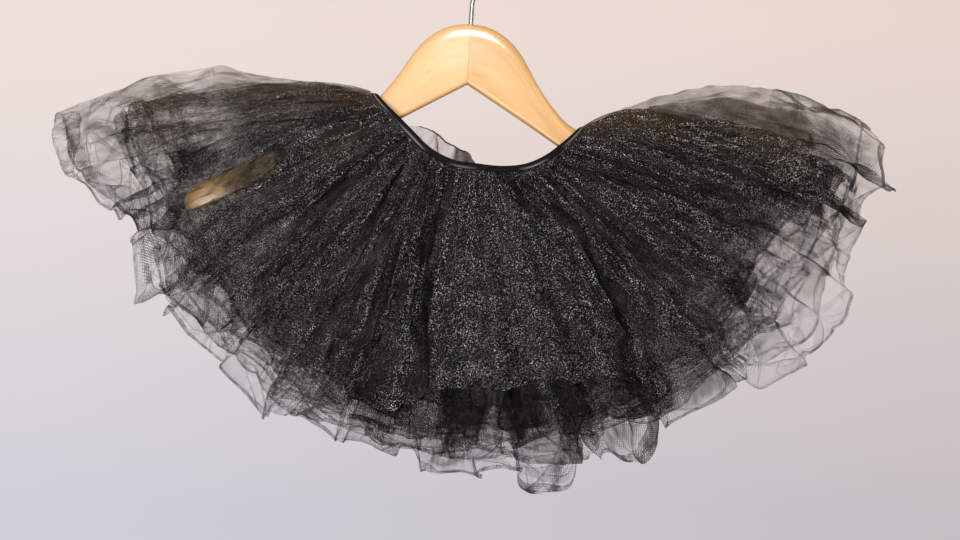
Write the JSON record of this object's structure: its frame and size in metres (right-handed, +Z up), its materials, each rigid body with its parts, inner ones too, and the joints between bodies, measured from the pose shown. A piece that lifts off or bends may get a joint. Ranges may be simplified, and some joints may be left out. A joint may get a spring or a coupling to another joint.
{
  "type": "ballet tutu on a clothes hanger",
  "caption": "Child's pull-on ballet skirt of gathered black net tiers on a narrow elastic waistband, hung by its waist over the arms of a wooden hanger with a wire hook.",
  "frame": {"origin": "top of the inside of the hanger's hook, where the hook hangs on a rail", "axes": "+X to the right of someone who faces the skirt's front, along the rail's cross direction; +Y from the front of the skirt to its back; +Z up"},
  "size_m": [0.6791, 0.1098, 0.4484],
  "materials": {
    "top_net": "fine black net with a faint silvery glint",
    "middle_net": "fine black net",
    "under_net": "sheer black net",
    "net_heading": "sheer black net, one layer",
    "elastic": "ribbed black elastic",
    "wood": "clear varnish",
    "wire": "plated, bright"
  },
  "bodies": {
    "root": {"top_net": "top_net", "middle_net": "middle_net", "under_net": "under_net", "net_heading": "net_heading", "waistband": "elastic", "hanger_arm_left": "wood", "hanger_arm_right": "wood", "hanger_hook": "wire"}
  },
  "joints": []
}
